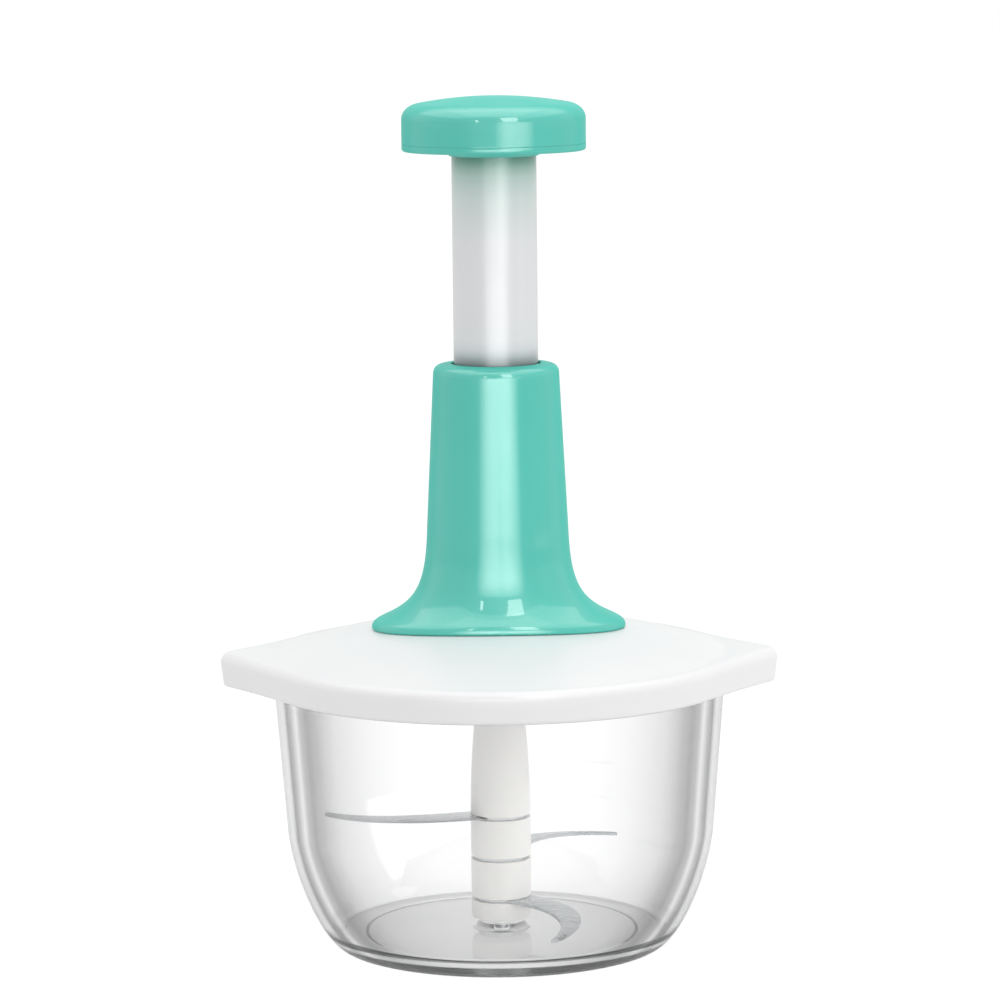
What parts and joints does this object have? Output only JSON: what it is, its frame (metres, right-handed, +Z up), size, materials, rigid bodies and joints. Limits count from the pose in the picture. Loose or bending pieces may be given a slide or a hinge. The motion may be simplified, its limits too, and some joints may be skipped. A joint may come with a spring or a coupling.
{
  "type": "plunger food chopper",
  "caption": "Hand food chopper: a clear bowl with a domed lid, and a palm plunger whose twisted rod spins a stack of curved blades when it is pressed down.",
  "frame": {"origin": "centre of the bowl's foot ring, on the surface that it stands on", "axes": "+Z up along the plunger, +X through the lid's tabs, -Y towards the viewer of the picture"},
  "size_m": [0.1978, 0.1688, 0.301],
  "materials": {
    "clear_bowl": "clear polished",
    "white_plastic": "glossy moulded white",
    "teal_plastic": "glossy moulded teal",
    "tube_plastic": "satin light grey",
    "natural_plastic": "satin natural",
    "seal_rubber": "soft translucent grey",
    "blade_steel": "brushed with ground edges",
    "polished_steel": "polished",
    "spring_steel": "drawn wire"
  },
  "bodies": {
    "bowl_body": {"bowl": "clear_bowl", "pivot_pin": "polished_steel"},
    "blade_stack": {"bottom_hub": "white_plastic", "lower_blade": "blade_steel", "middle_blade": "blade_steel", "upper_blade": "blade_steel", "lower_spacer": "white_plastic", "middle_spacer": "white_plastic", "blade_column": "white_plastic"},
    "lid_body": {"lid": "white_plastic", "lid_seal": "seal_rubber", "tower_shell": "teal_plastic", "guide_tube": "white_plastic", "collar_ring": "white_plastic", "drive_housing": "white_plastic", "spindle_bush": "natural_plastic", "thrust_washer": "polished_steel", "clutch_cap": "white_plastic", "tower_screw_1": "polished_steel", "tower_screw_2": "polished_steel", "tower_screw_3": "polished_steel", "tower_screw_4": "polished_steel", "return_spring": "spring_steel"},
    "spindle": {"drive_spindle": "natural_plastic", "spindle_circlip": "spring_steel"},
    "clutch_nut": {"drive_nut": "natural_plastic"},
    "plunger": {"knob_cap": "teal_plastic", "knob_base": "teal_plastic", "plunger_tube": "tube_plastic", "stop_damper": "seal_rubber", "twisted_rod": "polished_steel", "rod_washer": "polished_steel", "rod_nut": "polished_steel"}
  },
  "joints": [
    {"name": "lid_lift", "type": "slide", "parent": "bowl_body", "child": "lid_body", "axis": [0, 0, 1], "range_m": [0, 0.08]},
    {"name": "plunger_press", "type": "slide", "parent": "lid_body", "child": "plunger", "axis": [0, 0, -1], "range_m": [0, 0.07], "stiffness_N_per_m": 300, "springref_m": -0.02, "deforming": ["return_spring"]},
    {"name": "spindle_spin", "type": "hinge", "parent": "lid_body", "child": "spindle", "pos_m": [0, 0, 0.097], "axis": [0, 0, 1], "continuous": true},
    {"name": "nut_lift", "type": "slide", "parent": "spindle", "child": "clutch_nut", "axis": [0, 0, 1], "range_m": [0, 0.001]},
    {"name": "blade_spin", "type": "hinge", "parent": "bowl_body", "child": "blade_stack", "pos_m": [0, 0, 0.017], "axis": [0, 0, 1], "continuous": true}
  ],
  "couplings": [
    {"joint": "spindle_spin", "follows": "plunger_press", "rad_per_m": 179.52},
    {"joint": "blade_spin", "follows": "plunger_press", "rad_per_m": 179.52}
  ]
}
